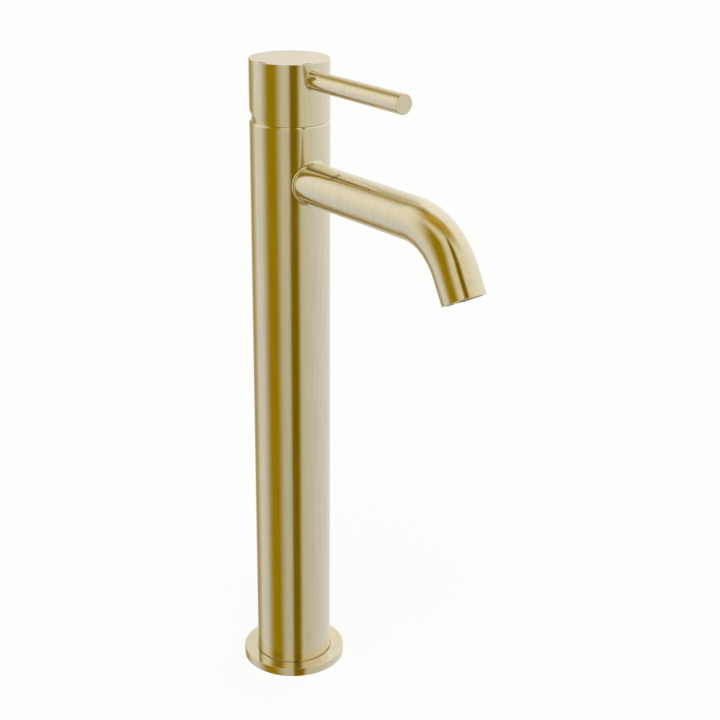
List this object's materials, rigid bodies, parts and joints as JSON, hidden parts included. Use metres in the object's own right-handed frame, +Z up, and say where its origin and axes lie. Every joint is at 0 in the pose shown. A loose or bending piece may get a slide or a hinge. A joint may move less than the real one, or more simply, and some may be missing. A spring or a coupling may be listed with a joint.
{
  "type": "tall basin mixer faucet",
  "caption": "Tall single-lever basin mixer in brushed gold: round column on a flange, a bent tube spout and a rod lever that lifts for flow and turns for heat.",
  "frame": {"origin": "centre of the base's underside, on the deck", "axes": "+Z up along the column's axis, -Y to the front along the spout and the lever at rest, +X to the user's right"},
  "size_m": [0.055, 0.1685, 0.3334],
  "materials": {
    "brushed_gold": "pale gold coating over brass, finely brushed and half gloss",
    "raw_brass": "machined, uncoated",
    "copper_tube": null,
    "black_rubber": "moulded, matt",
    "cartridge_plastic": "moulded",
    "disc_ceramic": "lapped",
    "hard_steel": "ground",
    "aerator_plastic": "moulded",
    "red_enamel": "filled enamel",
    "blue_enamel": "filled enamel"
  },
  "bodies": {
    "fixed_body": {"aerator_grille": "aerator_plastic", "aerator_housing": "aerator_plastic", "aerator_jet_plate": "aerator_plastic", "aerator_seal": "black_rubber", "base_flange": "brushed_gold", "base_gasket": "black_rubber", "base_insert": "raw_brass", "cartridge_base": "cartridge_plastic", "cartridge_base_seals": "black_rubber", "cartridge_cover": "brushed_gold", "cartridge_housing": "cartridge_plastic", "cold_supply_tube": "copper_tube", "column_tube": "brushed_gold", "fixed_disc": "disc_ceramic", "hot_supply_tube": "copper_tube", "retaining_nut": "raw_brass", "spout_collar": "brushed_gold", "spout_connector": "raw_brass", "spout_seals": "black_rubber", "spout_tube": "brushed_gold", "supply_tube_seals": "black_rubber", "valve_block": "raw_brass"},
    "turning_guide": {"spindle_guide": "cartridge_plastic", "pivot_pin": "hard_steel"},
    "handle": {"handle_head": "brushed_gold", "lever_rod": "brushed_gold", "lever_collar": "brushed_gold", "stem": "raw_brass", "grub_screw": "hard_steel", "hot_mark": "red_enamel", "cold_mark": "blue_enamel"},
    "sliding_disc": {"disc_driver": "cartridge_plastic", "moving_disc": "disc_ceramic"}
  },
  "joints": [
    {"name": "handle_turn", "type": "hinge", "parent": "fixed_body", "child": "turning_guide", "pos_m": [0, 0, 0.305], "axis": [0, 0, 1], "range_deg": [-90, 0]},
    {"name": "handle_lift", "type": "hinge", "parent": "turning_guide", "child": "handle", "pos_m": [0, 0, 0.305], "axis": [-1, 0, 0], "range_deg": [0, 20]},
    {"name": "disc_slide", "type": "slide", "parent": "turning_guide", "child": "sliding_disc", "axis": [0, -1, 0], "range_m": [0, 0.0031]}
  ],
  "couplings": [
    {"joint": "disc_slide", "follows": "handle_lift", "m_per_rad": 0.0088183}
  ]
}
